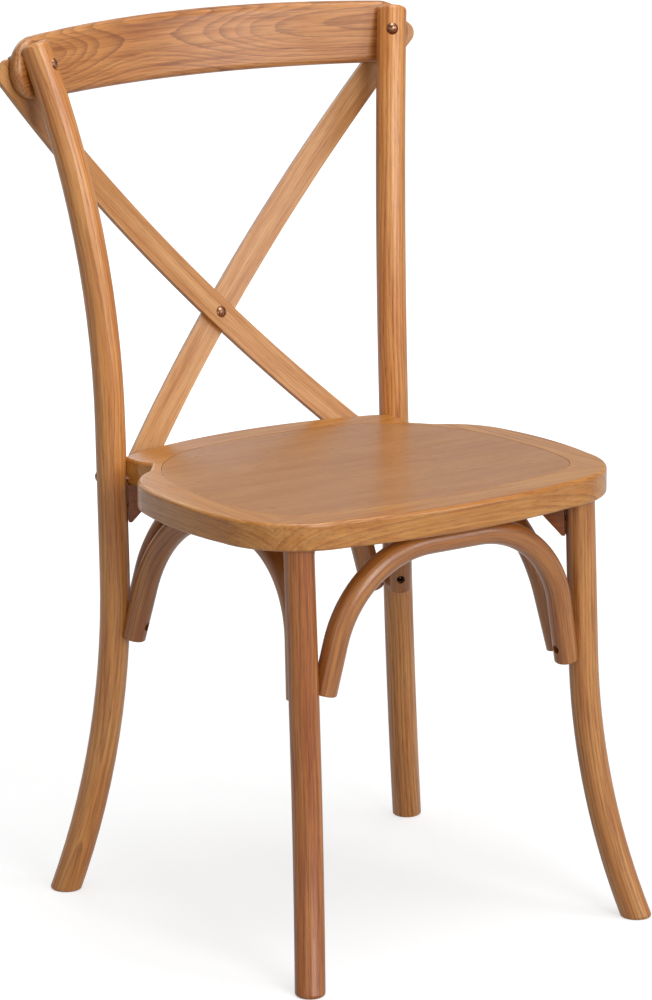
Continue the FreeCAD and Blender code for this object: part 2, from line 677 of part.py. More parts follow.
class Arch:
    """One arch: its two legs pass through two points at the mark height.

    Its plane leans to the left of the way from the first point to the second.
    """

    def __init__(self, name, points, cuts):
        first, second = points
        self.kind = name
        self.slope = size(name + "_slope")
        self.lean = size(name + "_lean")
        self.cuts = cuts
        self.middle = (first + second) / 2
        self.half = (second - first).Length / 2
        self.along = (second - first).normalize()
        self.tilt = math.sqrt(1 + self.lean ** 2)
        self.rising = (up + up.cross(self.along) * self.lean) / self.tilt
        self.rise = (seatBottom - size("arch_radius") - size("arch_mark_z")) * self.tilt

    def leg_point(self, side, z):
        """A point of a leg's axis at a height; side is -1 for the first leg and 1 for the second."""
        climb = (z - size("arch_mark_z")) * self.tilt
        return self.middle + self.along * (side * (self.half - climb * self.slope)) + self.rising * climb

    def crown(self):
        return self.middle + self.rising * self.rise

    def body(self, name):
        radius = size(self.kind + "_bend")
        angle = math.atan(self.slope)
        back = radius * math.tan((math.pi / 2 - angle) / 2)
        top = self.half - self.rise * self.slope - back
        turn = Vector(top + radius * math.cos(angle), self.rise - radius + radius * math.sin(angle), 0)
        ends = []
        for side, cut in zip((-1, 1), self.cuts):
            climb = (size(cut) - size("arch_mark_z")) * self.tilt
            ends.append(Vector(side * (self.half - climb * self.slope), climb, 0))
        body = new_body(name)
        line = new_sketch(body, name + "_line", "XZ_Plane")
        centre = Vector(top, self.rise - radius, 0)
        line.addGeometry(Part.LineSegment(ends[0], flip(turn)), False)
        line.addGeometry(Part.ArcOfCircle(Part.Circle(flip(centre), up, radius),
                                          math.pi / 2, math.pi - angle), False)
        line.addGeometry(Part.LineSegment(Vector(-top, self.rise, 0), Vector(top, self.rise, 0)), False)
        line.addGeometry(Part.ArcOfCircle(Part.Circle(centre, up, radius), angle, math.pi / 2), False)
        line.addGeometry(Part.LineSegment(turn, ends[1]), False)
        line.addConstraint([
            Sketcher.Constraint("Tangent", 0, 2, 1, 2),
            Sketcher.Constraint("Tangent", 1, 1, 2, 1),
            Sketcher.Constraint("Tangent", 2, 2, 3, 2),
            Sketcher.Constraint("Tangent", 3, 1, 4, 1),
            Sketcher.Constraint("Symmetric", 2, 1, 2, 2, -2),
            Sketcher.Constraint("Equal", 1, 3),
            Sketcher.Constraint("DistanceX", -1, 1, 3, 3, top),
            Sketcher.Constraint("DistanceX", 0, 1, -1, 1, -ends[0].x),
            Sketcher.Constraint("DistanceY", -1, 1, 0, 1, ends[0].y),
            Sketcher.Constraint("DistanceX", -1, 1, 4, 2, ends[1].x),
            Sketcher.Constraint("DistanceY", -1, 1, 4, 2, ends[1].y),
        ])
        index = line.addConstraint(Sketcher.Constraint("Radius", 3, radius))
        line.setExpression("Constraints[%d]" % index, bound(self.kind + "_bend"))
        index = line.addConstraint(Sketcher.Constraint("DistanceY", -1, 1, 2, 1, self.rise))
        height = "Dimensions.seat_top - Dimensions.seat_thickness - Dimensions.arch_radius"
        tilt = "sqrt(1 + %s ^ 2)" % bound(self.kind + "_lean")
        line.setExpression("Constraints[%d]" % index, "(%s - Dimensions.arch_mark_z) * %s" % (height, tilt))
        section = new_sketch(body, name + "_section", "XY_Plane")
        section.AttachmentOffset = Placement(Vector(ends[0].x, 0, ends[0].y),
                                             Rotation(Vector(0, 1, 0), math.degrees(angle)))
        section.addGeometry(Part.Circle(Vector(0, 0, 0), up, size("arch_radius")), False)
        section.addConstraint(Sketcher.Constraint("Coincident", 0, 3, -1, 1))
        index = section.addConstraint(Sketcher.Constraint("Radius", 0, size("arch_radius")))
        section.setExpression("Constraints[%d]" % index, bound("arch_radius"))
        rod = body.newObject("PartDesign::AdditivePipe", name + "_rod")
        rod.Profile = section
        rod.Spine = (line, ["Edge%d" % number for number in range(1, 6)])
        doc.recompute()
        tips = [Vector(end.x, 0, end.y) for end in ends]
        rims = ["Edge%d" % number for number, edge in enumerate(rod.Shape.Edges, 1)
                if min(edge.CenterOfMass.distanceToPoint(tip) for tip in tips) < 0.1]
        rounded = body.newObject("PartDesign::Fillet", name + "_ends")
        rounded.Base = (rod, rims)
        rounded.setExpression("Radius", bound("arch_end_round"))
        across = self.rising.cross(self.along)
        turned = FreeCAD.Matrix(self.along.x, across.x, self.rising.x, self.middle.x,
                                self.along.y, across.y, self.rising.y, self.middle.y,
                                self.along.z, across.z, self.rising.z, self.middle.z)
        body.Placement = Placement(turned)
        doc.recompute()
        return body


def beside(axisPoint, legRadius, kind):
    """The arch axis beside a leg: clear of it, less the hollow that the arch gets there."""
    reach = legRadius + size("arch_radius") + size("arch_gap") - size(kind + "_bite")
    return axisPoint + heading(size(kind + "_turn")) * reach


legAtMark = leg_axis(size("arch_mark_z"))
postAtMark = post_axis(size("arch_mark_z"))
frontMark = beside(legAtMark, size("leg_radius"), "front_arch")
backMark = beside(postAtMark, size("post_radius"), "back_arch")
sideFrontMark = beside(legAtMark, size("leg_radius"), "side_arch_front")
sideBackMark = beside(postAtMark, size("post_radius"), "side_arch_back")
frontBend = Arch("front_arch", (flip(frontMark), frontMark), ("front_arch_left_z", "front_arch_right_z"))
backBend = Arch("back_arch", (flip(backMark), backMark), ("back_arch_z", "back_arch_z"))
sideBend = Arch("side_arch", (sideFrontMark, sideBackMark), ("side_arch_front_z", "side_arch_back_z"))


def leg_room():
    """The space of the straight part of a front leg, a little wider than the leg."""
    radius = size("leg_radius") + size("arch_gap")
    low = legTop + legLean * (size("front_arch_right_z") - 20 - legTop.z)
    run = legTop - low
    return Part.makeCylinder(radius, run.Length, low, run)


def post_room():
    """The space of the lower bend of a back post, a little wider than the post."""
    return footBend.rod(size("post_radius") + size("arch_gap"), 0)


# Corner blocks: a triangle with blunt tips, its upright side against the leg

def block_body(name, axisPoint, lean, legRadius, turn):
    """axisPoint is the leg's axis at the underside of the seat."""
    direction = heading(turn)
    slant = (lean.x * direction.x + lean.y * direction.y)
    body = new_body(name)
    sketch = new_sketch(body, name + "_side", "XZ_Plane")
    drop = size("block_drop")
    # Where the leg leans towards the block, the lower corner steps back with it
    step = -slant * drop
    nose = size("block_nose")
    reach = size("block_reach")
    points = [Vector(0, 0, 0), Vector(reach, 0, 0), Vector(reach, -nose, 0),
              Vector(step + nose, -drop, 0), Vector(step, -drop, 0)]
    for i in range(5):
        sketch.addGeometry(Part.LineSegment(points[i], points[(i + 1) % 5]), False)
    for i in range(5):
        sketch.addConstraint(Sketcher.Constraint("Coincident", i, 2, (i + 1) % 5, 1))
    sketch.addConstraint([
        Sketcher.Constraint("Coincident", 0, 1, -1, 1),
        Sketcher.Constraint("Horizontal", 0),
        Sketcher.Constraint("Vertical", 1),
        Sketcher.Constraint("Horizontal", 3),
        Sketcher.Constraint("DistanceX", -1, 1, 4, 1, step),
    ])
    lengths = [("DistanceX", (0, 1, 0, 2), "block_reach"), ("DistanceY", (1, 2, 1, 1), "block_nose"),
               ("DistanceX", (3, 2, 3, 1), "block_nose"), ("DistanceY", (4, 1, 4, 2), "block_drop")]
    for kind, ends, cell in lengths:
        index = sketch.addConstraint(Sketcher.Constraint(kind, *ends, size(cell)))
        sketch.setExpression("Constraints[%d]" % index, bound(cell))
    sketch.setExpression("AttachmentOffset.Base.z", "-Dimensions.block_thickness / 2")
    pad = body.newObject("PartDesign::Pad", name + "_pad")
    pad.Profile = sketch
    pad.setExpression("Length", "Dimensions.block_thickness")
    offset = legRadius + size("block_gap")
    body.Placement = Placement(axisPoint + direction * offset, Rotation(Vector(1, 0, 0), direction))
    return body


# Blanks: every wooden piece before it is drilled and let into its neighbours

postBlank = shape_piece("post_blank", post_rod())
legBlank = shape_piece("leg_blank", leg_rod())
crestBlank = shape_piece("crest_blank", crest_board())
crestHousing = shape_piece("crest_housing", crest_housing())
frontRail, backRail, rightRail = seat_rails()
frontRailBlank = shape_piece("front_rail_blank", frontRail)
backRailBlank = shape_piece("back_rail_blank", backRail)
sideRailBlank = shape_piece("side_rail_blank", rightRail)
seatPanel = shape_piece("seat_panel", seat_panel())

# At the crossing the two strips lie on each other
slatShift = size("slat_thickness") / 2 / math.cos(math.radians(size("crossing_bolt_tilt")))
slatRising = slat_body("slat_rising_right", slatShift)
slatOther = slat_body("slat_rising_right_front", -slatShift)
slatFalling = mirrored("slat_rising_left", slatOther)

frontArch = frontBend.body("front_arch_blank")
backArch = backBend.body("back_arch_blank")
sideArch = sideBend.body("side_arch_blank")
legRoom = shape_piece("leg_room", leg_room())
postRoom = shape_piece("post_room", post_room())
frontBlock = block_body("front_block_blank", legTop, legLean, size("leg_radius"),
                        size("block_front_turn"))
postUnderSeat = post_straight(seatBottom)
backBlock = block_body("back_block_blank", postUnderSeat, postLean, size("post_radius"),
                       size("block_back_turn"))
doc.recompute()


# Places of the bolts and screws of the right side: (seat of the head, way out of the head)

def through(seat, outward, pieces):
    """How far a bolt runs from its head's seat to the last face of the pieces."""
    path = Part.makeLine(seat, seat - outward * 120)
    reach = 0
    for piece in pieces:
        for vertex in path.common(piece.Shape).Vertexes:
            reach = max(reach, seat.distanceToPoint(vertex.Point))
    return reach


crestWay = heading(-90 - size("crest_bolt_turn"))
crestSeat = post_axis(size("crest_bolt_z")) + crestWay * (size("post_radius") - size("bolt_sink"))
crestGrip = through(crestSeat, crestWay, [crestBlank, slatRising])

seatWay = heading(size("seat_bolt_turn"))
seatSeat = post_axis(size("seat_bolt_z")) + seatWay * (size("post_radius") - size("bolt_sink"))

tilt = math.radians(size("crossing_bolt_tilt"))
crossWay = Vector(0, -math.cos(tilt), math.sin(tilt))
crossMiddle = Vector(0, size("slat_cross_y"), size("slat_cross_z"))
crossSeat = crossMiddle + crossWay * size("slat_thickness")
crossGrip = 2 * size("slat_thickness")
crestNutSpot = (crestSeat - crestWay * crestGrip, crestWay * -1)
crossNutSpot = (crossSeat - crossWay * crossGrip, crossWay * -1)


def arch_screw(arch, side, axis):
    """The screw that holds one end of an arch to its leg or post."""
    z = size(arch.cuts[0 if side < 0 else 1]) + size("arch_screw_rise")
    centre = arch.leg_point(side, z)
    way = (centre - axis(z)).normalize()
    return centre + way * (size("arch_radius") - size("counterbore_depth")), way


def seat_screw(arch):
    """The screw that holds the middle of an arch to the seat."""
    head = arch.crown() - up * (size("arch_radius") - size("counterbore_depth"))
    return head, up * -1


def left_leg_axis(z):
    return flip(leg_axis(z))


frontScrewRight = arch_screw(frontBend, 1, leg_axis)
frontScrewLeft = arch_screw(frontBend, -1, left_leg_axis)
backArchScrew = arch_screw(backBend, 1, post_axis)
sideFrontScrew = arch_screw(sideBend, -1, leg_axis)
sideBackScrew = arch_screw(sideBend, 1, post_axis)
frontSeatScrew = seat_screw(frontBend)
backSeatScrew = seat_screw(backBend)
sideSeatScrew = seat_screw(sideBend)


def block_screws(block, turn):
    """The upright screw into the seat and the level one into the leg."""
    corner = block.Placement.Base
    inset = size("block_reach") - size("block_screw_inset")
    depth = size("block_screw_depth")
    direction = heading(size(turn))
    intoSeat = (corner + direction * inset - up * depth, up * -1)
    intoLeg = (corner + direction * depth - up * inset, direction)
    return intoSeat, intoLeg


frontBlockSeat, frontBlockLeg = block_screws(frontBlock, "block_front_turn")
backBlockSeat, backBlockLeg = block_screws(backBlock, "block_back_turn")


def slat_screw(offset):
    """A screw at a distance along the slat that rises to the right, near its lower end."""
    turn = slatRising.Placement.Rotation
    radius = slatCircleRadius + size("slat_thickness") / 2
    angle = size(offset) / slatCircleRadius
    way = turn.multVec(Vector(math.cos(angle), math.sin(angle), 0))
    return slatRising.Placement.Base + way * radius, way


slatLow = Vector(-size("slat_low_x"), size("slat_low_y"), size("slat_low_z"))
slatCircleRadius = slatLow.distanceToPoint(slatRising.Placement.Base)
slatScrews = [slat_screw("slat_screw_low"), slat_screw("slat_screw_high")]


def other_side(spot):
    return flip(spot[0]), flip(spot[1])


def both_sides(spots):
    return spots + [other_side(spot) for spot in spots]


# Drills and counterbores

shankHole = "Dimensions.bolt_shank + Dimensions.fit"
screwHole = "Dimensions.screw_shank + Dimensions.fit"


def shank_holes(name, radius, length, spots):
    return [hole("%s_hole_%d" % (name, number), radius, length, seat, way)
            for number, (seat, way) in enumerate(spots, 1)]


def head_rooms(name, radius, spots):
    """Round rooms from the head's seat outwards."""
    room = 30
    return [hole("%s_room_%d" % (name, number), radius, room, seat, way * -1)
            for number, (seat, way) in enumerate(spots, 1)]


def screw_holes(name, length, spots):
    return shank_holes(name, screwHole, size(length), spots)


headRoom = "Dimensions.bolt_head + Dimensions.fit"
screwRoom = "Dimensions.screw_head + Dimensions.fit"
counterbore = "Dimensions.counterbore"
crestBoltLength = crestGrip + size("nut_bore")
crossBoltLength = crossGrip + size("nut_bore")
postFaces = 2 * size("post_radius") + 1

rightPost = cut_piece("back_post_right", postBlank, [crestHousing]
                      + shank_holes("post_crest", shankHole, crestBoltLength, [(crestSeat, crestWay)])
                      + head_rooms("post_crest", headRoom, [(crestSeat, crestWay)])
                      + shank_holes("post_seat", shankHole, postFaces, [(seatSeat, seatWay)])
                      + head_rooms("post_seat", headRoom, [(seatSeat, seatWay)])
                      + screw_holes("post_arch", "arch_screw_length", [backArchScrew, sideBackScrew])
                      + screw_holes("post_block", "block_screw_length", [backBlockLeg]))


def drilled_leg(name, blank, spots, blockSpot):
    return cut_piece(name, blank, screw_holes(name + "_arch", "arch_screw_length", spots)
                     + screw_holes(name + "_block", "block_screw_length", [blockSpot]))


rightLeg = drilled_leg("front_leg_right", legBlank, [frontScrewRight, sideFrontScrew], frontBlockLeg)
leftLeg = drilled_leg("front_leg_left", mirrored("leg_blank_left", legBlank),
                      [frontScrewLeft, other_side(sideFrontScrew)], other_side(frontBlockLeg))
crestBedded = cut_piece("crest_bedded", crestBlank, [slatRising, slatFalling])
crestRail = cut_piece("crest_rail", crestBedded,
                      shank_holes("crest", shankHole, crestBoltLength,
                                  both_sides([(crestSeat, crestWay)])))
crossHoles = both_sides([(crestSeat, crestWay)]) + [(crossSeat, crossWay)]
nutRoom = "Dimensions.nut_radius + Dimensions.fit"
frontSlat = cut_piece("cross_slat_front", slatFalling,
                      shank_holes("front_slat", shankHole, crestBoltLength, crossHoles)
                      + head_rooms("front_slat", headRoom, [(crossSeat, crossWay)])
                      + head_rooms("front_slat_nut", nutRoom, [other_side(crestNutSpot)])
                      + head_rooms("front_slat_screw", screwRoom,
                                   [other_side(spot) for spot in slatScrews])
                      + screw_holes("front_slat_screw", "slat_screw_length",
                                    [other_side(spot) for spot in slatScrews]))
rearSlatBedded = cut_piece("rear_slat_bedded", slatRising, [slatFalling])
rearSlat = cut_piece("cross_slat_rear", rearSlatBedded,
                     head_rooms("rear_slat_nut", nutRoom, [crossNutSpot, crestNutSpot])
                     + head_rooms("rear_slat_screw", screwRoom, slatScrews)
                     + shank_holes("rear_slat", shankHole, crestBoltLength, crossHoles)
                     + screw_holes("rear_slat_screw", "slat_screw_length", slatScrews))

tenonHole = hole("tenon_hole", "Dimensions.tenon_radius + Dimensions.fit",
                 size("tenon_length"), legTop, up * -1)
frontSeatRail = cut_piece("seat_front_rail", frontRailBlank,
                          [tenonHole, mirrored("tenon_hole_left", tenonHole)]
                          + screw_holes("front_rail", "arch_screw_length", [frontSeatScrew])
                          + screw_holes("front_rail_block", "block_screw_length",
                                        both_sides([frontBlockSeat])))
backRailBedded = cut_piece("back_rail_bedded", backRailBlank, [slatRising, slatFalling])
backSeatRail = cut_piece("seat_back_rail", backRailBedded,
                         shank_holes("rail_bolt", shankHole, size("seat_bolt_length"),
                                       both_sides([(seatSeat, seatWay)]))
                         + screw_holes("rail_slat", "slat_screw_length", both_sides(slatScrews))
                         + screw_holes("rail_arch", "arch_screw_length", [backSeatScrew])
                         + screw_holes("rail_block", "block_screw_length",
                                       both_sides([backBlockSeat])))
rightSeatRail = cut_piece("seat_right_rail", sideRailBlank,
                          screw_holes("side_rail", "arch_screw_length", [sideSeatScrew]))


def drilled_arch(name, blank, spots):
    return cut_piece(name, blank, screw_holes(name, "arch_screw_length", spots)
                     + head_rooms(name, counterbore, spots))


def fitted_arch(name, blank, rooms):
    """The arch with a hollow where each leg or post passes."""
    fitted = blank
    for number, room in enumerate(rooms, 1):
        fitted = cut_piece("%s_fitted_%d" % (name, number), fitted, [room])
    return fitted


def drilled_block(name, blank, spots):
    return cut_piece(name, blank, screw_holes(name, "block_screw_length", spots)
                     + head_rooms(name, counterbore, spots))


frontFitted = fitted_arch("front_arch", frontArch, [legRoom, mirrored("leg_room_left", legRoom)])
backFitted = fitted_arch("back_arch", backArch, [postRoom, mirrored("post_room_left", postRoom)])
sideFitted = fitted_arch("side_arch", sideArch, [legRoom, postRoom])
rightArch = drilled_arch("right_arch", sideFitted, [sideFrontScrew, sideBackScrew, sideSeatScrew])
rightFrontBlock = drilled_block("corner_block_front_right", frontBlock,
                                [frontBlockSeat, frontBlockLeg])
rightBackBlock = drilled_block("corner_block_back_right", backBlock,
                               [backBlockSeat, backBlockLeg])


# Bolts, nuts and screws, each turned once and set in all its places

def bolt(name, length):
    return turned_body(name, [("0", -length), ("bolt_shank", -length), ("bolt_shank", "0"),
                              ("bolt_head", "0"), ("0", "bolt_dome")], domed=True)


def screw(name, length):
    cell = "-" + length
    return turned_body(name, [("0", cell), ("screw_shank", cell), ("screw_shank", "0"),
                              ("screw_head", "0"), ("0", "screw_dome")], domed=True)


capNut = turned_body("cap_nut", [("0", "nut_bore"), ("bolt_shank", "nut_bore"), ("bolt_shank", "0"),
                                 ("nut_radius", "0"), ("0", "nut_height")], domed=True)
crestBolt = bolt("crest_bolt", crestBoltLength)
crossBolt = bolt("crossing_bolt_blank", crossBoltLength)
seatBolt = bolt("seat_bolt", size("seat_bolt_length"))
archScrew = screw("arch_screw", "arch_screw_length")
slatScrew = screw("slat_screw", "slat_screw_length")
blockScrew = screw("block_screw", "block_screw_length")
archLegSpots = [frontScrewLeft, frontScrewRight] + both_sides([backArchScrew, sideFrontScrew,
                                                               sideBackScrew])
archSeatSpots = [frontSeatScrew, backSeatScrew, sideSeatScrew, other_side(sideSeatScrew)]
blockSpots = both_sides([frontBlockSeat, frontBlockLeg, backBlockSeat, backBlockLeg])

# Every sub-part of the chair, by the name of its file
nodes = {
    "back_post_right": rightPost,
    "back_post_left": mirrored("back_post_left", rightPost),
    "front_leg_right": rightLeg,
    "front_leg_left": leftLeg,
    "crest_rail": crestRail,
    "cross_slat_front": frontSlat,
    "cross_slat_rear": rearSlat,
    "seat_front_rail": frontSeatRail,
    "seat_back_rail": backSeatRail,
    "seat_right_rail": rightSeatRail,
    "seat_left_rail": mirrored("seat_left_rail", rightSeatRail),
    "seat_panel": seatPanel,
    "front_arch": drilled_arch("front_arch", frontFitted,
                               [frontScrewLeft, frontScrewRight, frontSeatScrew]),
    "back_arch": drilled_arch("back_arch", backFitted, both_sides([backArchScrew]) + [backSeatScrew]),
    "right_arch": rightArch,
    "left_arch": mirrored("left_arch", rightArch),
    "corner_block_front_right": rightFrontBlock,
    "corner_block_front_left": mirrored("corner_block_front_left", rightFrontBlock),
    "corner_block_back_right": rightBackBlock,
    "corner_block_back_left": mirrored("corner_block_back_left", rightBackBlock),
    "crest_bolts": set_group("crest_bolts", crestBolt, both_sides([(crestSeat, crestWay)])),
    "crest_nuts": set_group("crest_nuts", capNut, both_sides([crestNutSpot])),
    "crossing_bolt": set_group("crossing_bolt", crossBolt, [(crossSeat, crossWay)]),
    "crossing_nut": set_group("crossing_nut", capNut, [crossNutSpot]),
    "seat_bolts": set_group("seat_bolts", seatBolt, both_sides([(seatSeat, seatWay)])),
    "slat_screws": set_group("slat_screws", slatScrew, both_sides(slatScrews)),
    "arch_leg_screws": set_group("arch_leg_screws", archScrew, archLegSpots),
    "arch_seat_screws": set_group("arch_seat_screws", archScrew, archSeatSpots),
    "corner_block_screws": set_group("corner_block_screws", blockScrew, blockSpots),
}
doc.recompute()

failed = [item.Name for item in doc.Objects if "Invalid" in item.State or "Error" in item.State]
if failed:
    raise RuntimeError("these did not build: " + ", ".join(failed))

os.makedirs("parts", exist_ok=True)
for name, item in nodes.items():
    shape = item.Shape
    if shape.isNull() or not shape.isValid():
        raise RuntimeError(name + " has no valid shape")
    item.Label = name
    box = shape.BoundBox
    print("%-26s %d solids %9.0f mm3  z %6.1f to %6.1f"
          % (name, len(shape.Solids), shape.Volume, box.ZMin, box.ZMax))
    shape.exportStep("parts/%s.step" % name)

whole = Part.Compound([item.Shape for item in nodes.values()]).BoundBox
print("whole chair x %.2f to %.2f, y %.2f to %.2f, z %.2f to %.2f"
      % (whole.XMin, whole.XMax, whole.YMin, whole.YMax, whole.ZMin, whole.ZMax))
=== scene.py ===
import math
import bpy
from mathutils import Matrix, Vector

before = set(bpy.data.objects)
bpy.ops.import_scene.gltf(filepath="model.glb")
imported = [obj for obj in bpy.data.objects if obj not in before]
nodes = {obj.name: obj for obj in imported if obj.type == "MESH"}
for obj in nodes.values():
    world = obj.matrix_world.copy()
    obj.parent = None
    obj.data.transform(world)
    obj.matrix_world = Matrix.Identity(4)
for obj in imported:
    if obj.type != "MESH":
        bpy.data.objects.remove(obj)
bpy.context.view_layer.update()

# A bentwood dining chair with a crossed back.
# Metres; the floor is z = 0 and the sitter looks along -Y. Right and left in the names are +X and -X.

print("frame loaded:", len(nodes), "nodes")


# Small helpers for shader trees

def paint(red, green, blue):
    # a colour as given on a screen, 0 to 255, turned into scene values
    def plain(value):
        value /= 255
        return value / 12.92 if value <= 0.04045 else ((value + 0.055) / 1.055) ** 2.4
    return (plain(red), plain(green), plain(blue), 1)


class Tree:
    # writes nodes into one shader tree and keeps them in tidy rows
    def __init__(self, tree):
        self.tree = tree
        self.count = 0

    def add(self, kind, inputs=None, **settings):
        item = self.tree.nodes.new(kind)
        item.location = (220 * (self.count % 12), -260 * (self.count // 12))
        self.count += 1
        for name, value in settings.items():
            setattr(item, name, value)
        for name, value in (inputs or {}).items():
            self.feed(item.inputs[name], value)
        return item

    def feed(self, socket, value):
        if isinstance(value, bpy.types.NodeSocket):
            self.tree.links.new(value, socket)
        else:
            socket.default_value = value

    def math(self, operation, *values):
        item = self.add("ShaderNodeMath", operation=operation)
        for socket, value in zip(item.inputs, values):
            self.feed(socket, value)
        return item.outputs[0]

    def vector(self, operation, *values):
        item = self.add("ShaderNodeVectorMath", operation=operation)
        for socket, value in zip(item.inputs, values):
            self.feed(socket, value)
        return item.outputs["Value" if operation in ("DOT_PRODUCT", "LENGTH") else "Vector"]

    def scaled(self, vector, factor):
        item = self.add("ShaderNodeVectorMath", {"Vector": vector, "Scale": factor}, operation="SCALE")
        return item.outputs["Vector"]

    def split(self, vector):
        return self.add("ShaderNodeSeparateXYZ", {"Vector": vector}).outputs

    def join(self, x, y, z):
        return self.add("ShaderNodeCombineXYZ", {"X": x, "Y": y, "Z": z}).outputs["Vector"]

    def step(self, value, low, high, toLow=0.0, toHigh=1.0):
        item = self.add("ShaderNodeMapRange", {"Value": value, "From Min": low, "From Max": high,
                                               "To Min": toLow, "To Max": toHigh},
                        interpolation_type="SMOOTHSTEP")
        return item.outputs["Result"]

    def noise(self, vector, scale, detail, rough=0.5):
        item = self.add("ShaderNodeTexNoise", {"Vector": vector, "Scale": scale, "Detail": detail,
                                               "Roughness": rough})
        return item.outputs["Fac"]

    def mix(self, factor, first, second):
        item = self.add("ShaderNodeMix", data_type="RGBA")
        self.feed(item.inputs[0], factor)
        self.feed(item.inputs[6], first)     # the two colours of an RGBA mix
        self.feed(item.inputs[7], second)
        return item.outputs[2]

    def place(self):
        return self.add("ShaderNodeTexCoord").outputs["Object"]


def newGroup(name, inputs, outputs):
    group = bpy.data.node_groups.new(name, "ShaderNodeTree")
    kinds = {"value": "NodeSocketFloat", "vector": "NodeSocketVector", "color": "NodeSocketColor"}
    for label, kind in inputs.items():
        group.interface.new_socket(label, in_out="INPUT", socket_type=kinds[kind])
    for label, kind in outputs.items():
        group.interface.new_socket(label, in_out="OUTPUT", socket_type=kinds[kind])
    tree = Tree(group)
    entry = tree.add("NodeGroupInput")
    leave = tree.add("NodeGroupOutput")
    return group, tree, entry.outputs, leave.inputs


def placed(tree, group, inputs):
    item = tree.add("ShaderNodeGroup", node_tree=group)
    for name, value in inputs.items():
        tree.feed(item.inputs[name], value)
    return item.outputs


# Groups that follow a bent piece: how far a point lies across it, deep in it and along it

grainWays = ("Across", "Depth", "Along")
grainOutputs = {way: "value" for way in grainWays}


def rodLineGroup():
    # a leaning rod whose foot and head curve away
    group, tree, given, out = newGroup("rodLine", {
        "Side": "value", "Middle": "vector", "Lean": "vector", "Foot height": "value",
        "Foot shift": "vector", "Head height": "value", "Head length": "value",
        "Head shift": "vector"}, grainOutputs)
    x, y, z = tree.split(tree.place())
    x = tree.math("MULTIPLY", x, given["Side"])
    middleHeight = tree.split(given["Middle"])["Z"]
    climb = tree.math("SUBTRACT", z, middleHeight)
    down = tree.math("DIVIDE", tree.math("SUBTRACT", given["Foot height"], z), given["Foot height"])
    down = tree.math("POWER", tree.math("MAXIMUM", down, 0.0), 2.0)
    rise = tree.math("DIVIDE", tree.math("SUBTRACT", z, given["Head height"]), given["Head length"])
    rise = tree.math("POWER", tree.math("MAXIMUM", rise, 0.0), 2.0)
    centre = tree.vector("ADD", given["Middle"], tree.scaled(given["Lean"], climb))
    centre = tree.vector("ADD", centre, tree.scaled(given["Foot shift"], down))
    centre = tree.vector("ADD", centre, tree.scaled(given["Head shift"], rise))
    offset = tree.split(tree.vector("SUBTRACT", tree.join(x, y, z), centre))
    tree.feed(out["Across"], offset["X"])
    tree.feed(out["Depth"], offset["Y"])
    tree.feed(out["Along"], z)
    return group


def arcLineGroup():
    # a board bent to one arc
    group, tree, given, out = newGroup("arcLine", {
        "Centre": "vector", "Outward": "vector", "Forward": "vector", "Sideways": "vector",
        "Radius": "value"}, grainOutputs)
    reach = tree.vector("SUBTRACT", tree.place(), given["Centre"])
    outward = tree.vector("DOT_PRODUCT", reach, given["Outward"])
    forward = tree.vector("DOT_PRODUCT", reach, given["Forward"])
    sideways = tree.vector("DOT_PRODUCT", reach, given["Sideways"])
    turn = tree.math("ARCTAN2", forward, outward)
    far = tree.math("SQRT", tree.math("ADD", tree.math("MULTIPLY", outward, outward),
                                      tree.math("MULTIPLY", forward, forward)))
    tree.feed(out["Across"], sideways)
    tree.feed(out["Depth"], tree.math("SUBTRACT", far, given["Radius"]))
    tree.feed(out["Along"], tree.math("MULTIPLY", turn, given["Radius"]))
    return group


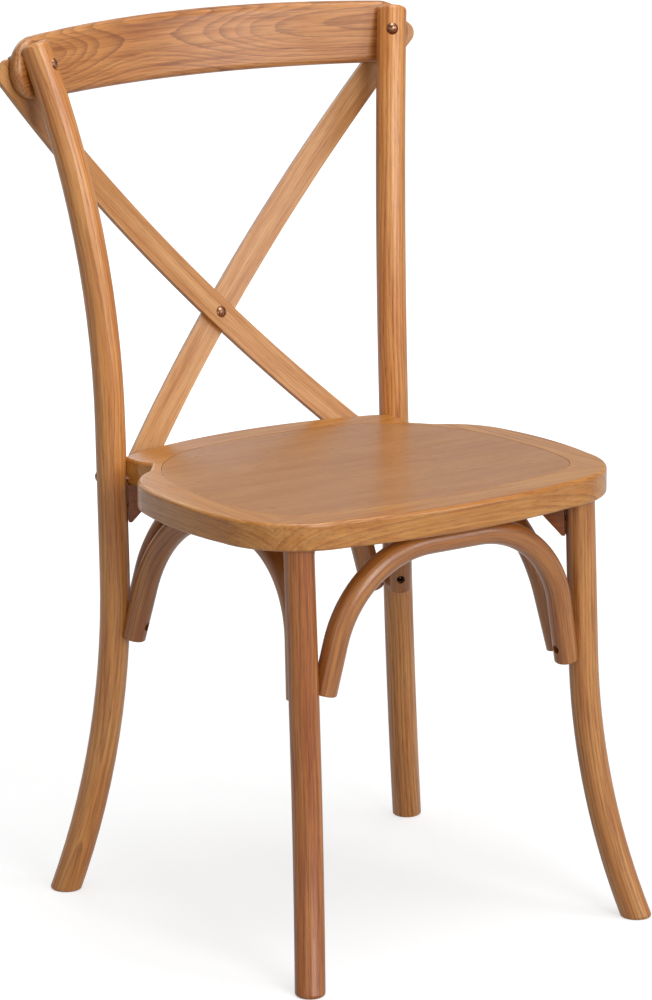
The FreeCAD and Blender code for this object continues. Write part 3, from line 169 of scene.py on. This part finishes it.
def archLineGroup():
    # a straight crown, a bend at each end of it and two straight legs
    group, tree, given, out = newGroup("archLine", {
        "Middle": "vector", "Level": "vector", "Rising": "vector", "Through": "vector",
        "Top": "value", "Rise": "value", "Bend": "value", "Leg angle": "value"}, grainOutputs)
    reach = tree.vector("SUBTRACT", tree.place(), given["Middle"])
    signed = tree.vector("DOT_PRODUCT", reach, given["Level"])
    height = tree.vector("DOT_PRODUCT", reach, given["Rising"])
    through = tree.vector("DOT_PRODUCT", reach, given["Through"])
    beside = tree.math("ABSOLUTE", signed)
    outward = tree.math("SUBTRACT", beside, given["Top"])
    upward = tree.math("SUBTRACT", height, tree.math("SUBTRACT", given["Rise"], given["Bend"]))
    far = tree.math("SQRT", tree.math("ADD", tree.math("MULTIPLY", outward, outward),
                                      tree.math("MULTIPLY", upward, upward)))
    turn = tree.math("ARCTAN2", outward, upward)
    most = tree.math("SUBTRACT", math.pi / 2, given["Leg angle"])
    sine = tree.math("SINE", given["Leg angle"])
    cosine = tree.math("COSINE", given["Leg angle"])
    onCrown = tree.math("LESS_THAN", turn, 0.0)
    onLeg = tree.math("GREATER_THAN", turn, most)
    bendAcross = tree.math("SUBTRACT", far, given["Bend"])
    crownAcross = tree.math("SUBTRACT", height, given["Rise"])
    legAcross = tree.math("SUBTRACT", tree.math("ADD", tree.math("MULTIPLY", outward, cosine),
                                                tree.math("MULTIPLY", upward, sine)), given["Bend"])
    bendAlong = tree.math("ADD", given["Top"], tree.math("MULTIPLY", turn, given["Bend"]))
    legStart = tree.math("ADD", given["Top"], tree.math("MULTIPLY", most, given["Bend"]))
    legAlong = tree.math("ADD", legStart, tree.math("SUBTRACT", tree.math("MULTIPLY", outward, sine),
                                                    tree.math("MULTIPLY", upward, cosine)))

    def chosen(bend, crown, leg):
        plain = tree.math("ADD", bend, tree.math("MULTIPLY", onCrown, tree.math("SUBTRACT", crown, bend)))
        return tree.math("ADD", plain, tree.math("MULTIPLY", onLeg, tree.math("SUBTRACT", leg, bend)))

    along = tree.math("MULTIPLY", tree.math("SIGN", signed), chosen(bendAlong, beside, legAlong))
    tree.feed(out["Across"], chosen(bendAcross, crownAcross, legAcross))
    tree.feed(out["Depth"], through)
    tree.feed(out["Along"], along)
    return group


# The group for year rings, pores and fibres

marks = {
    # noises: scale across the grain and along it, a shift that sets them apart, detail and roughness
    "ripple": (110.0, 26.0, 0.0, 3.0, 0.6),
    "breaks": (900.0, 40.0, 0.0, 2.0, 0.5),
    "tone": (95.0, 7.0, 4.4, 3.0, 0.6),
    "dashes": (1500.0, 70.0, 9.1, 1.0, 0.5),
    "fibre": (420.0, 12.0, 2.7, 4.0, 0.7),
    "swayAcross": 14.0,            # scale across the grain of the slow sway
    "rippleSize": 0.0016,          # metres that a ring wanders quickly
    "unevenNoise": (0.4, 1.0),     # how the rings crowd and spread: scale and detail
    "unevenSize": 2.2,
    "lineSharpness": 2.0,          # how late in the year its dark line comes
    "lineEnd": 0.88,               # where it drops off, as a share of the ring
    "lineStrength": (0.55, 0.45),  # chance part and sure part
    "breakEdges": (0.3, 0.6),
    "breakDepth": 0.65,
    "dashEdges": (0.54, 0.68),
    "poresInLines": (0.75, 0.25),  # pores inside a line, and everywhere
}


def growthRingsGroup():
    # rings lie around a pith line that may tilt, swell and sway along the piece
    group, tree, given, out = newGroup("growthRings", dict(grainOutputs, **{
        "Pith": "vector", "Tilt": "vector", "Swell": "vector", "Ring": "value", "Sway": "value",
        "Sway rate": "value", "Seed": "value"}),
        {"Lines": "value", "Tone": "value", "Pores": "value", "Fibre": "value"})
    x, y, along = (given[way] for way in grainWays)
    z = tree.math("ADD", along, given["Seed"])

    def stretched(name):
        cross, length, shift, detail, rough = marks[name]
        spot = tree.join(tree.math("MULTIPLY", x, cross), tree.math("MULTIPLY", y, cross),
                         tree.math("MULTIPLY_ADD", z, length, shift))
        return tree.noise(spot, 1.0, detail, rough)

    slow = tree.join(tree.math("MULTIPLY", x, marks["swayAcross"]),
                     tree.math("MULTIPLY", y, marks["swayAcross"]),
                     tree.math("MULTIPLY", z, given["Sway rate"]))
    sway = tree.math("SUBTRACT", tree.noise(slow, 1.0, 1.0), 0.5)
    ripple = tree.math("SUBTRACT", stretched("ripple"), 0.5)
    shift = tree.math("MULTIPLY", sway, given["Sway"])
    shift = tree.math("MULTIPLY_ADD", ripple, marks["rippleSize"], shift)
    swell = tree.split(given["Swell"])       # place along the piece, width, height
    away = tree.math("DIVIDE", tree.math("SUBTRACT", along, swell["X"]), swell["Y"])
    hump = tree.math("EXPONENT", tree.math("MULTIPLY", tree.math("MULTIPLY", away, away), -1.0))
    hump = tree.math("MULTIPLY", hump, swell["Z"])
    pith = tree.vector("ADD", given["Pith"], tree.scaled(given["Tilt"], along))
    pith = tree.vector("ADD", pith, tree.join(0.0, hump, 0.0))
    arm = tree.split(tree.vector("SUBTRACT", tree.join(x, y, 0.0), pith))
    reach = tree.vector("LENGTH", tree.join(arm["X"], arm["Y"], 0.0))
    years = tree.math("DIVIDE", tree.math("ADD", reach, shift), given["Ring"])
    uneven = tree.noise(tree.join(years, given["Seed"], 0.0), *marks["unevenNoise"])
    years = tree.math("MULTIPLY_ADD", uneven, marks["unevenSize"], years)
    part = tree.math("FRACT", years)
    grow = tree.math("POWER", part, marks["lineSharpness"])
    fall = tree.step(part, marks["lineEnd"], 1.0, 1.0, 0.0)
    chance = tree.add("ShaderNodeTexWhiteNoise", noise_dimensions="1D")
    tree.feed(chance.inputs["W"], tree.math("FLOOR", years))
    strong = tree.math("MULTIPLY_ADD", chance.outputs["Value"], *marks["lineStrength"])
    band = tree.math("MULTIPLY", tree.math("MULTIPLY", grow, fall), strong)
    broken = tree.step(stretched("breaks"), *marks["breakEdges"], marks["breakDepth"], 1.0)
    tree.feed(out["Lines"], tree.math("MULTIPLY", band, broken))
    tree.feed(out["Tone"], stretched("tone"))
    dash = tree.step(stretched("dashes"), *marks["dashEdges"])
    inLines = tree.math("MULTIPLY_ADD", band, *marks["poresInLines"])
    tree.feed(out["Pores"], tree.math("MULTIPLY", dash, inLines))
    tree.feed(out["Fibre"], stretched("fibre"))
    return group


# The group for lacquered wood: its colours, gloss and surface height

lacquer = {
    "toneEdges": (0.34, 0.66),
    "fibreEdges": (0.35, 0.7),
    "streakEdges": (0.34, 0.5),
    "poreShade": (0.02, 0.01, 0.004, 1),
    "smearNoise": (38.0, 3.0),     # hand-wiped patches in the gloss: scale and detail
    "smearDepth": 0.14,
    "poreDullness": 0.12,
    "lineDullness": -0.05,
    "peelNoise": (240.0, 1.0),     # the lacquer's own fine waves
    "peelHeight": 0.25,
    "poreHeight": 0.8,
    "fibreHeight": 0.3,
    "lineHeight": 0.2,
    "bumpStrength": 0.35,
    "bumpDistance": 0.0004,
    "specular": 0.5,
    "coatRoughness": 0.28,
}


def lacqueredWoodGroup():
    group, tree, given, out = newGroup("lacqueredWood", {
        "Lines": "value", "Tone": "value", "Pores": "value", "Fibre": "value",
        "Light": "color", "Middle": "color", "Dark": "color", "Line depth": "value",
        "Pore depth": "value", "Tone depth": "value", "Fibre depth": "value", "Gloss": "value"},
        {"Color": "color", "Roughness": "value", "Height": "value"})
    broad = tree.step(given["Tone"], *lacquer["toneEdges"])
    base = tree.mix(tree.math("MULTIPLY", broad, given["Tone depth"]), given["Middle"], given["Light"])
    fibre = tree.step(given["Fibre"], *lacquer["fibreEdges"])
    base = tree.mix(tree.math("MULTIPLY", fibre, given["Fibre depth"]), base, given["Light"])
    streak = tree.step(given["Fibre"], *lacquer["streakEdges"], 1.0, 0.0)
    base = tree.mix(tree.math("MULTIPLY", streak, given["Fibre depth"]), base, given["Dark"])
    base = tree.mix(tree.math("MULTIPLY", given["Lines"], given["Line depth"]), base, given["Dark"])
    deepest = tree.mix(0.5, given["Dark"], lacquer["poreShade"])
    base = tree.mix(tree.math("MULTIPLY", given["Pores"], given["Pore depth"]), base, deepest)
    tree.feed(out["Color"], base)
    spot = tree.place()
    smear = tree.math("SUBTRACT", tree.noise(spot, *lacquer["smearNoise"]), 0.5)
    dull = tree.math("ADD", given["Gloss"], tree.math("MULTIPLY", smear, lacquer["smearDepth"]))
    dull = tree.math("ADD", dull, tree.math("MULTIPLY", given["Pores"], lacquer["poreDullness"]))
    dull = tree.math("ADD", dull, tree.math("MULTIPLY", given["Lines"], lacquer["lineDullness"]))
    tree.feed(out["Roughness"], dull)
    peel = tree.math("MULTIPLY", tree.noise(spot, *lacquer["peelNoise"]), lacquer["peelHeight"])
    height = tree.math("SUBTRACT", peel, tree.math("MULTIPLY", given["Pores"], lacquer["poreHeight"]))
    height = tree.math("ADD", height, tree.math("MULTIPLY", given["Fibre"], lacquer["fibreHeight"]))
    height = tree.math("SUBTRACT", height, tree.math("MULTIPLY", given["Lines"], lacquer["lineHeight"]))
    tree.feed(out["Height"], height)
    return group


rodLine = rodLineGroup()
arcLine = arcLineGroup()
archLine = archLineGroup()
growthRings = growthRingsGroup()
lacqueredWood = lacqueredWoodGroup()
print("shader groups ready")


# Making a material and putting it on a piece

def emptyMaterial(name):
    material = bpy.data.materials.new(name)
    material.use_nodes = True
    material.node_tree.nodes.clear()
    tree = Tree(material.node_tree)
    shader = tree.add("ShaderNodeBsdfPrincipled")
    result = tree.add("ShaderNodeOutputMaterial")
    tree.feed(result.inputs["Surface"], shader.outputs["BSDF"])
    return material, tree, shader


def dress(node, material):
    mesh = nodes[node].data
    mesh.materials.clear()
    mesh.materials.append(material)
    for face in mesh.polygons:
        face.material_index = 0


# How a piece lay in its log: the pith's place and slope, across the piece and in depth, a hump in
# it (place along the piece, width, height), and a seed that sets one piece's grain apart from another's
straightLog = {"pith": (0, 0), "tilt": (0, 0), "swell": (0, 1, 0), "seed": 0.0}


def woodenPiece(node, plan, line, look="wood"):
    # plan is the dictionary of this kind of piece, and line(tree) gives how the grain runs through it
    wood = plan[look]
    log = {**straightLog, **plan["logs"][node]}
    first, *others = node.split("_")
    material, tree, shader = emptyMaterial(first + "".join(word.title() for word in others) + "Wood")
    grain = line(tree)
    rings = placed(tree, growthRings, {
        **{way: grain[way] for way in grainWays}, "Pith": (*log["pith"], 0), "Tilt": (*log["tilt"], 0),
        "Swell": log["swell"], "Seed": log["seed"],
        "Ring": wood["ring"], "Sway": wood["sway"], "Sway rate": wood["swayRate"]})
    finish = placed(tree, lacqueredWood, {
        **{mark: rings[mark] for mark in ("Lines", "Tone", "Pores", "Fibre")},
        "Light": wood["light"], "Middle": wood["middle"], "Dark": wood["dark"],
        "Line depth": wood["lineDepth"], "Pore depth": wood["poreDepth"],
        "Tone depth": wood["toneDepth"], "Fibre depth": wood["fibreDepth"], "Gloss": wood["gloss"]})
    tree.feed(shader.inputs["Base Color"], finish["Color"])
    tree.feed(shader.inputs["Roughness"], finish["Roughness"])
    bump = tree.add("ShaderNodeBump", {"Height": finish["Height"], "Strength": lacquer["bumpStrength"],
                                       "Distance": lacquer["bumpDistance"]})
    tree.feed(shader.inputs["Normal"], bump.outputs["Normal"])
    tree.feed(shader.inputs["Specular IOR Level"], lacquer["specular"])
    tree.feed(shader.inputs["Coat Weight"], wood["coat"])
    tree.feed(shader.inputs["Coat Roughness"], lacquer["coatRoughness"])
    dress(node, material)


# Back posts and front legs: bent rods. The line is the right one's middle, and the left one mirrors it

backPosts = {
    "line": {"Middle": (0.1768, 0.1389, 0.445), "Lean": (-0.003, 0.035, 0),
             "Foot height": 0.34, "Foot shift": (0.0408, 0.0493, 0),
             "Head height": 0.51, "Head length": 0.365, "Head shift": (0.045, 0.0488, 0)},
    "wood": {"light": paint(225, 160, 90), "middle": paint(197, 122, 52), "dark": paint(123, 54, 8),
             "lineDepth": 0.75, "poreDepth": 0.5, "toneDepth": 0.8, "fibreDepth": 0.38, "gloss": 0.4,
             "ring": 0.0038, "sway": 0.012, "swayRate": 5.0, "coat": 0.4},
    "logs": {"back_post_right": {"pith": (0.025, -0.035), "tilt": (0.012, 0.02)},
             "back_post_left": {"pith": (0.03, -0.042), "tilt": (0.01, 0.01), "seed": 2.3}},
}
frontLegs = {
    "line": {"Middle": (0.1716, -0.1834, 0.4311), "Lean": (0, 0.049, 0),
             "Foot height": 0.27, "Foot shift": (0.031, -0.0389, 0),
             "Head height": 0.5, "Head length": 1.0, "Head shift": (0, 0, 0)},
    "wood": dict(backPosts["wood"], light=paint(196, 123, 52), middle=paint(156, 79, 18),
                 dark=paint(84, 29, 2)),
    "logs": {"front_leg_right": {"pith": (0.033, -0.023), "tilt": (0.01, 0.01), "seed": 4.1},
             "front_leg_left": {"pith": (-0.028, -0.036), "tilt": (-0.02, 0.03), "seed": 6.7}},
}
# the right leg is cut across the rings, so it shows straight stripes
frontLegs["stripedWood"] = dict(frontLegs["wood"], light=paint(209, 145, 76), middle=paint(169, 99, 38),
                                dark=paint(91, 39, 4), ring=0.0042, sway=0.004)


def rodGrain(line, side):
    return lambda tree: placed(tree, rodLine, dict(line, Side=side))


woodenPiece("back_post_right", backPosts, rodGrain(backPosts["line"], 1))
woodenPiece("back_post_left", backPosts, rodGrain(backPosts["line"], -1))
woodenPiece("front_leg_right", frontLegs, rodGrain(frontLegs["line"], 1), "stripedWood")
woodenPiece("front_leg_left", frontLegs, rodGrain(frontLegs["line"], -1))
print("posts and legs dressed")


# Crest rail: a board bent about an upright axis in front of it

crest = {
    "middleY": 0.240, "radius": 0.740, "middleZ": 0.852,
    "wood": {"light": paint(204, 141, 78), "middle": paint(170, 101, 38), "dark": paint(100, 43, 6),
             "lineDepth": 0.85, "poreDepth": 0.45, "toneDepth": 0.8, "fibreDepth": 0.4, "gloss": 0.38,
             "ring": 0.0027, "sway": 0.006, "swayRate": 5.0, "coat": 0.45},
    "logs": {"crest_rail": {"pith": (0.006, 0.022), "swell": (-0.055, 0.13, 0.02), "seed": 0.8}},
}


def crestGrain(tree):
    return placed(tree, arcLine, {
        "Centre": (0, crest["middleY"] - crest["radius"], crest["middleZ"]), "Radius": crest["radius"],
        "Outward": (0, 1, 0), "Forward": (1, 0, 0), "Sideways": (0, 0, 1)})


woodenPiece("crest_rail", crest, crestGrain)


# Crossed slats: each is bent to the circle through three points. These are the rear one's, which
# rises to the right, and the front one mirrors them

slats = {
    "low": (-0.1365, 0.151, 0.440), "cross": (0, 0.205, 0.5753), "high": (0.249, 0.2172, 0.8525),
    "wood": {"light": paint(206, 154, 98), "middle": paint(180, 118, 56), "dark": paint(138, 76, 24),
             "lineDepth": 0.45, "poreDepth": 0.45, "toneDepth": 0.8, "fibreDepth": 0.34, "gloss": 0.42,
             "ring": 0.0028, "sway": 0.006, "swayRate": 3.0, "coat": 0.3},
    "logs": {"cross_slat_rear": {"pith": (0.035, 0.012), "tilt": (0.01, 0), "seed": 1.2},
             "cross_slat_front": {"pith": (0.03, 0.02), "tilt": (-0.008, 0.01), "seed": 3.5}},
}


def circleThrough(a, b, c):
    ab = b - a
    ac = c - a
    normal = ab.cross(ac)
    toCentre = normal.cross(ab) * ac.length_squared + ac.cross(normal) * ab.length_squared
    return a + toCentre / (2 * normal.length_squared), normal.normalized()


def slatGrain(side):
    points = (slats[key] for key in ("low", "cross", "high"))
    low, cross, high = (Vector((x * side, y, z)) for x, y, z in points)
    centre, sideways = circleThrough(low, cross, high)
    outward = (cross - centre).normalized()
    return lambda tree: placed(tree, arcLine, {
        "Centre": centre, "Radius": (cross - centre).length, "Outward": outward,
        "Forward": sideways.cross(outward), "Sideways": sideways})


woodenPiece("cross_slat_rear", slats, slatGrain(1))
woodenPiece("cross_slat_front", slats, slatGrain(-1))
print("crest rail and slats dressed")


# Seat: four rails with the grain along each, and a veneered panel with its grain from side to side

seat = {
    "rim": {"light": paint(202, 142, 70), "middle": paint(182, 112, 36), "dark": paint(118, 54, 2),
            "lineDepth": 0.6, "poreDepth": 0.35, "toneDepth": 0.9, "fibreDepth": 0.32, "gloss": 0.32,
            "ring": 0.0042, "sway": 0.008, "swayRate": 3.0, "coat": 0.35},
    "panel": {"light": paint(186, 132, 77), "middle": paint(170, 112, 59), "dark": paint(132, 70, 25),
              "lineDepth": 0.3, "poreDepth": 0.6, "toneDepth": 0.6, "fibreDepth": 0.24, "gloss": 0.32,
              "ring": 0.0030, "sway": 0.02, "swayRate": 7.0, "coat": 0.2},
    "logs": {"seat_front_rail": {"pith": (-0.26, 0.40), "seed": 0.4},
             "seat_back_rail": {"pith": (0.15, 0.41), "tilt": (0.01, 0), "seed": 1.7},
             "seat_right_rail": {"pith": (0.24, 0.40), "tilt": (0, 0.02), "seed": 2.9},
             "seat_left_rail": {"pith": (-0.25, 0.40), "tilt": (0, 0.02), "seed": 5.2},
             "seat_panel": {"pith": (0.02, 0.38), "tilt": (0, 0.03), "seed": 0.9}},
}


def boardGrain(across, along):
    def line(tree):
        parts = tree.split(tree.place())
        return {"Across": parts[across], "Depth": parts["Z"], "Along": parts[along]}
    return line


sideToSide = boardGrain("Y", "X")
frontToBack = boardGrain("X", "Y")
woodenPiece("seat_front_rail", seat, sideToSide, "rim")
woodenPiece("seat_back_rail", seat, sideToSide, "rim")
woodenPiece("seat_right_rail", seat, frontToBack, "rim")
woodenPiece("seat_left_rail", seat, frontToBack, "rim")
woodenPiece("seat_panel", seat, sideToSide, "panel")
print("seat dressed")


# Arches under the seat: each lies in one leaning plane. Its points are where its legs' middle lines
# pass the height called mark, and the left arch mirrors the right one

arches = {
    "front": {"points": ((-0.1504, -0.1905), (0.1504, -0.1905)),
              "lean": -0.076, "slope": 0.218, "bend": 0.110},
    "back": {"points": ((-0.1522, 0.1431), (0.1522, 0.1431)),
             "lean": -0.008, "slope": 0.29, "bend": 0.118},
    "side": {"points": ((0.1605, -0.1661), (0.1682, 0.1170)),
             "lean": 0.14, "slope": 0.22, "bend": 0.1157},
    "mark": 0.270, "crown": 0.4187,
    "wood": {"light": paint(190, 125, 62), "middle": paint(154, 87, 30), "dark": paint(88, 37, 2),
             "lineDepth": 0.5, "poreDepth": 0.4, "toneDepth": 0.9, "fibreDepth": 0.36, "gloss": 0.34,
             "ring": 0.0030, "sway": 0.006, "swayRate": 5.0, "coat": 0.5},
    "logs": {"front_arch": {"pith": (0.03, -0.03), "tilt": (0.01, 0.01), "seed": 0.6},
             "back_arch": {"pith": (0.02, 0.04), "tilt": (0, 0.02), "seed": 2.2},
             "right_arch": {"pith": (-0.03, 0.02), "tilt": (0.01, 0), "seed": 3.8},
             "left_arch": {"pith": (0.025, 0.035), "tilt": (0, 0.015), "seed": 5.9}},
}


def archGrain(kind, side=1):
    plan = arches[kind]
    first, second = (Vector((x * side, y, arches["mark"])) for x, y in plan["points"])
    level = (second - first).normalized()
    upright = Vector((0, 0, 1))
    tilt = math.sqrt(1 + plan["lean"] ** 2)
    rising = (upright + upright.cross(level) * plan["lean"] * side) / tilt
    rise = (arches["crown"] - arches["mark"]) * tilt
    angle = math.atan(plan["slope"])
    half = (second - first).length / 2
    top = half - rise * plan["slope"] - plan["bend"] * math.tan((math.pi / 2 - angle) / 2)
    return lambda tree: placed(tree, archLine, {
        "Middle": (first + second) / 2, "Level": level, "Rising": rising, "Through": rising.cross(level),
        "Top": top, "Rise": rise, "Bend": plan["bend"], "Leg angle": angle})


woodenPiece("front_arch", arches, archGrain("front"))
woodenPiece("back_arch", arches, archGrain("back"))
woodenPiece("right_arch", arches, archGrain("side"))
woodenPiece("left_arch", arches, archGrain("side", -1))


# Corner blocks: the grain runs level, out to each corner

cornerBlocks = {
    "wood": {"light": paint(154, 86, 38), "middle": paint(128, 64, 24), "dark": paint(86, 36, 8),
             "lineDepth": 0.6, "poreDepth": 0.4, "toneDepth": 0.8, "fibreDepth": 0.4, "gloss": 0.45,
             "ring": 0.0030, "sway": 0.004, "swayRate": 5.0, "coat": 0.2},
    "logs": {"corner_block_" + corner: {"pith": (0.02, 0.38), "tilt": (0.05, 0.02), "seed": seed}
             for corner, seed in (("front_right", 0.3), ("front_left", 1.1),
                                  ("back_right", 2.6), ("back_left", 4.0))},
}


def cornerGrain(node):
    slant = math.sqrt(0.5)
    x = slant if "right" in node else -slant
    y = slant if "back" in node else -slant

    def line(tree):
        spot = tree.place()
        return {"Along": tree.vector("DOT_PRODUCT", spot, (x, y, 0)),
                "Across": tree.vector("DOT_PRODUCT", spot, (-y, x, 0)), "Depth": tree.split(spot)["Z"]}
    return line


for node in cornerBlocks["logs"]:
    woodenPiece(node, cornerBlocks, cornerGrain(node))
print("arches and corner blocks dressed")


# Bolts, nuts and screws

metals = {
    "agedBronze": {
        "light": paint(180, 132, 104), "dark": paint(108, 72, 54), "rough": 0.34, "tarnish": 0.4,
        "pieces": ("crest_bolts", "crest_nuts", "crossing_bolt", "crossing_nut", "seat_bolts")},
    "blackenedSteel": {
        "light": paint(84, 72, 62), "dark": paint(38, 32, 28), "rough": 0.45, "tarnish": 0.6,
        "pieces": ("slat_screws", "arch_leg_screws", "arch_seat_screws", "corner_block_screws")},
}
metalWear = {
    # noises: scale, detail and roughness
    "cloudNoise": (420.0, 4.0, 0.6), "cloudEdges": (0.35, 0.65), "glossSwing": 0.2,
    "speckNoise": (1500.0, 2.0), "speckEdges": (0.55, 0.72), "soot": (0.012, 0.008, 0.006, 1),
    "dentNoise": (900.0, 2.0), "bumpStrength": 0.25, "bumpDistance": 0.0003,
}


def metalMaterial(name, metal):
    material, tree, shader = emptyMaterial(name)
    spot = tree.place()
    cloud = tree.step(tree.noise(spot, *metalWear["cloudNoise"]), *metalWear["cloudEdges"])
    speck = tree.step(tree.noise(spot, *metalWear["speckNoise"]), *metalWear["speckEdges"])
    color = tree.mix(cloud, metal["dark"], metal["light"])
    color = tree.mix(tree.math("MULTIPLY", speck, metal["tarnish"]), color, metalWear["soot"])
    tree.feed(shader.inputs["Base Color"], color)
    tree.feed(shader.inputs["Metallic"], 1.0)
    swing = tree.math("MULTIPLY", tree.math("SUBTRACT", 0.5, cloud), metalWear["glossSwing"])
    tree.feed(shader.inputs["Roughness"], tree.math("ADD", metal["rough"], swing))
    dents = tree.noise(spot, *metalWear["dentNoise"])
    bump = tree.add("ShaderNodeBump", {"Height": dents, "Strength": metalWear["bumpStrength"],
                                       "Distance": metalWear["bumpDistance"]})
    tree.feed(shader.inputs["Normal"], bump.outputs["Normal"])
    return material


for name, metal in metals.items():
    material = metalMaterial(name, metal)
    for node in metal["pieces"]:
        dress(node, material)
print("bolts, nuts and screws dressed")


# Floor, world and lights

studio = {
    "floorHalf": 16.0,
    "floorTone": 0.42,
    "floorRoughness": 0.9,
    "floorSpecular": 0.1,
    "toothNoise": (60.0, 3.0),   # the paper's faint unevenness: scale and detail
    "toothDepth": 0.02,
    "floorLift": 0.68,           # how white the background makes the floor under the chair
    "whiteFrom": 0.5,            # metres from the middle where the floor starts to turn white
    "whiteAt": 2.2,
    "worldLight": 0.2,
    "mirroredLight": 0.45,       # how bright the background is in the gloss and in metal
    "lamps": [
        # name, place, width, height, power, and the point it faces
        ("keySoftbox", (-0.3, -3.4, 1.75), 1.3, 1.7, 52, (0, 0, 0.55)),
        ("rightSoftbox", (1.7, -3.0, 1.4), 1.1, 1.5, 25, (0, 0, 0.55)),
        ("topSoftbox", (0.1, -0.5, 3.0), 2.0, 2.0, 50, (0, 0, 0.4)),
        ("leftFill", (-3.0, -1.8, 1.3), 1.4, 1.8, 10, (0, 0, 0.5)),
        ("backFill", (0.6, 3.0, 1.6), 2.0, 1.6, 14, (0, 0, 0.5)),
    ],
}


def backgroundSeen(tree):
    # 1 for the camera, less for what gloss, metal and glass mirror, and 0 for the light on the chair
    path = tree.add("ShaderNodeLightPath").outputs
    mirrored = tree.math("MAXIMUM", path["Is Glossy Ray"], path["Is Transmission Ray"])
    mirrored = tree.math("MULTIPLY", mirrored, studio["mirroredLight"])
    return tree.math("MAXIMUM", path["Is Camera Ray"], mirrored)


def floorPiece():
    half = studio["floorHalf"]
    mesh = bpy.data.meshes.new("studioFloor")
    mesh.from_pydata([(-half, -half, 0), (half, -half, 0), (half, half, 0), (-half, half, 0)], [],
                     [(0, 1, 2, 3)])
    floor = bpy.data.objects.new("studioFloor", mesh)
    bpy.context.scene.collection.objects.link(floor)
    material, tree, shader = emptyMaterial("paperFloor")
    spot = tree.place()
    tooth = tree.noise(spot, *studio["toothNoise"])
    tone = tree.math("MULTIPLY_ADD", tooth, studio["toothDepth"], studio["floorTone"])
    paper = tree.add("ShaderNodeCombineColor", {"Red": tone, "Green": tone, "Blue": tone})
    tree.feed(shader.inputs["Base Color"], paper.outputs["Color"])
    tree.feed(shader.inputs["Roughness"], studio["floorRoughness"])
    tree.feed(shader.inputs["Specular IOR Level"], studio["floorSpecular"])
    tree.feed(shader.inputs["Emission Color"], (1, 1, 1, 1))
    far = tree.step(tree.vector("LENGTH", spot), studio["whiteFrom"], studio["whiteAt"])
    lift = tree.math("MULTIPLY_ADD", far, 1.0 - studio["floorLift"], studio["floorLift"])
    tree.feed(shader.inputs["Emission Strength"], tree.math("MULTIPLY", backgroundSeen(tree), lift))
    mesh.materials.append(material)


def studioWorld():
    world = bpy.data.worlds.new("studioWorld")
    bpy.context.scene.world = world
    world.use_nodes = True
    world.node_tree.nodes.clear()
    tree = Tree(world.node_tree)
    strength = tree.math("MAXIMUM", backgroundSeen(tree), studio["worldLight"])
    sky = tree.add("ShaderNodeBackground", {"Color": (1, 1, 1, 1), "Strength": strength})
    result = tree.add("ShaderNodeOutputWorld")
    tree.feed(result.inputs["Surface"], sky.outputs["Background"])


def studioLamps():
    for name, place, width, height, power, target in studio["lamps"]:
        data = bpy.data.lights.new(name, "AREA")
        data.shape = "RECTANGLE"
        data.size = width
        data.size_y = height
        data.energy = power
        lamp = bpy.data.objects.new(name, data)
        lamp.location = place
        aim = Vector(target) - Vector(place)
        lamp.rotation_euler = aim.to_track_quat("-Z", "Y").to_euler()
        bpy.context.scene.collection.objects.link(lamp)


floorPiece()
studioWorld()
studioLamps()
print("studio ready")


# Camera: in front of the chair and towards its left side, a little above it, with a long lens

cameraPlan = {"place": (-2.74683, -3.86483, 1.58113), "turn": 35.308, "drop": 13.793, "roll": -0.183,
              "lens": 173.97, "sensor": 36.0, "shiftY": -0.0012}


def studioCamera():
    turn, drop, roll = (math.radians(cameraPlan[key]) for key in ("turn", "drop", "roll"))
    look = Vector((math.sin(turn) * math.cos(drop), math.cos(turn) * math.cos(drop), -math.sin(drop)))
    level = Vector((math.cos(turn), -math.sin(turn), 0))
    above = level.cross(look)
    right = level * math.cos(roll) + above * math.sin(roll)
    up = above * math.cos(roll) - level * math.sin(roll)
    data = bpy.data.cameras.new("studioCamera")
    data.sensor_fit = "VERTICAL"
    data.sensor_height = cameraPlan["sensor"]
    data.lens = cameraPlan["lens"]
    data.shift_y = cameraPlan["shiftY"]
    camera = bpy.data.objects.new("studioCamera", data)
    turned = Matrix((right, up, -look)).transposed().to_4x4()
    camera.matrix_world = Matrix.Translation(cameraPlan["place"]) @ turned
    bpy.context.scene.collection.objects.link(camera)
    bpy.context.scene.camera = camera


studioCamera()
bpy.context.scene.view_settings.view_transform = "Standard"
print("camera ready")
